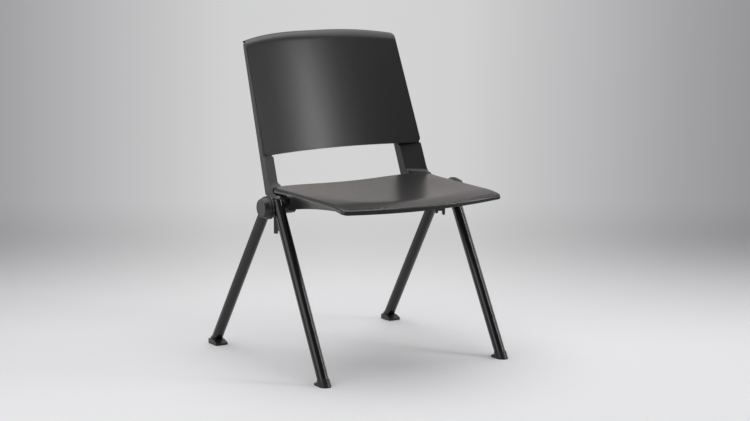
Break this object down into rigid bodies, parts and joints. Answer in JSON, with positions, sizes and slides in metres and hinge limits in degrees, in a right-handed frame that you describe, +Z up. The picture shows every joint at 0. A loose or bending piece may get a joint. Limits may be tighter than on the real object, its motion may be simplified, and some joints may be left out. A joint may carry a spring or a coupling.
{
  "type": "stacking chair",
  "caption": "Armless stacking chair: inverted-V steel tube legs, dished moulded seat, and a curved moulded back on two arms that reclines a little on rubber torsion bushes.",
  "frame": {"origin": "on the floor, at the middle of the chair's outline in X and Y", "axes": "+X to the sitter's left, -Y the way the sitter faces, +Z up"},
  "size_m": [0.596, 0.6088, 0.8099],
  "materials": {
    "textured_polypropylene": "fine moulded grain",
    "moulded_nylon_arm": "fine moulded grain",
    "glide_nylon": "smooth, scuffed underneath",
    "moulded_hub_nylon": "fine moulded grain",
    "fork_nylon": "smooth moulded",
    "black_powder_coat": "semi-gloss powder coat",
    "black_frame_coat": "semi-gloss powder coat",
    "zinc_plated_fasteners": "bright zinc",
    "bare_steel": "turned, lightly oiled",
    "phosphated_steel": "dark phosphate",
    "washer_acetal": "natural, smooth",
    "bush_rubber": "moulded"
  },
  "bodies": {
    "frame": {"seat_shell": "textured_polypropylene", "seat_screws": "zinc_plated_fasteners", "cross_tube": "black_frame_coat", "left_seat_bracket": "black_frame_coat", "right_seat_bracket": "black_frame_coat", "left_hub_block": "black_frame_coat", "right_hub_block": "black_frame_coat", "left_front_leg": "black_powder_coat", "right_front_leg": "black_powder_coat", "left_rear_leg": "black_powder_coat", "right_rear_leg": "black_powder_coat", "left_front_glide": "glide_nylon", "right_front_glide": "glide_nylon", "left_rear_glide": "glide_nylon", "right_rear_glide": "glide_nylon", "left_stacking_fork": "fork_nylon", "right_stacking_fork": "fork_nylon", "left_hub_collar": "moulded_hub_nylon", "right_hub_collar": "moulded_hub_nylon", "left_hub_cap": "moulded_hub_nylon", "right_hub_cap": "moulded_hub_nylon", "left_hub_bolt": "zinc_plated_fasteners", "right_hub_bolt": "zinc_plated_fasteners", "left_tube_plug": "bare_steel", "right_tube_plug": "bare_steel", "left_thrust_washer": "washer_acetal", "right_thrust_washer": "washer_acetal", "left_stop_collar": "phosphated_steel", "right_stop_collar": "phosphated_steel", "left_torsion_sleeve": "bare_steel", "right_torsion_sleeve": "bare_steel", "left_torsion_rubber": "bush_rubber", "right_torsion_rubber": "bush_rubber"},
    "back": {"left_torsion_housing": "bare_steel", "right_torsion_housing": "bare_steel", "left_back_arm": "moulded_nylon_arm", "right_back_arm": "moulded_nylon_arm", "back_panel": "textured_polypropylene", "panel_screws": "zinc_plated_fasteners"}
  },
  "joints": [
    {"name": "back_recline", "type": "hinge", "parent": "frame", "child": "back", "pos_m": [0, -0.0036, 0.403], "axis": [-1, 0, 0], "range_deg": [0, 10], "stiffness_Nm_per_rad": 200, "springref_deg": -5.73}
  ]
}
